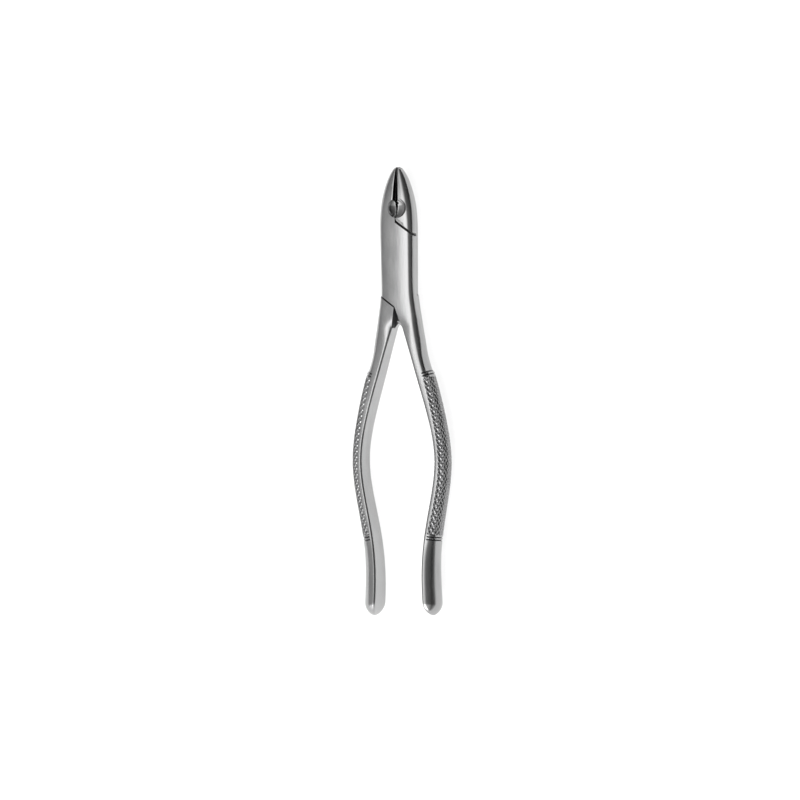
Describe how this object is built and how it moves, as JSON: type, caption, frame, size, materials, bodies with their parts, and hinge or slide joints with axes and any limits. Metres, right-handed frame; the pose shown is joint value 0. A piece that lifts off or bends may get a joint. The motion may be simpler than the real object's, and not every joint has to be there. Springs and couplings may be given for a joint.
{
  "type": "extraction forceps",
  "caption": "Dental extraction forceps: two crossed levers with narrow hollow beaks, a screwed lap joint, bowed grips with cross-cut outer faces and smooth flared ends.",
  "frame": {"origin": "on the pivot axis, in the flat back face of the joint", "axes": "+Y along the forceps towards the beak tips, +Z along the pivot axis out of the front face, +X towards the right handle"},
  "size_m": [0.0398, 0.1752, 0.0127],
  "materials": {
    "forged_steel": "satin stainless steel with fine grinding lines",
    "turned_steel": "turned stainless steel"
  },
  "bodies": {
    "front_lever": {"front_half": "forged_steel", "joint_screw": "turned_steel"},
    "back_lever": {"back_half": "forged_steel"}
  },
  "joints": [
    {"name": "pivot", "type": "hinge", "parent": "front_lever", "child": "back_lever", "pos_m": [0, 0, 0.0042], "axis": [0, 0, -1], "range_deg": [-0.8, 30]}
  ]
}
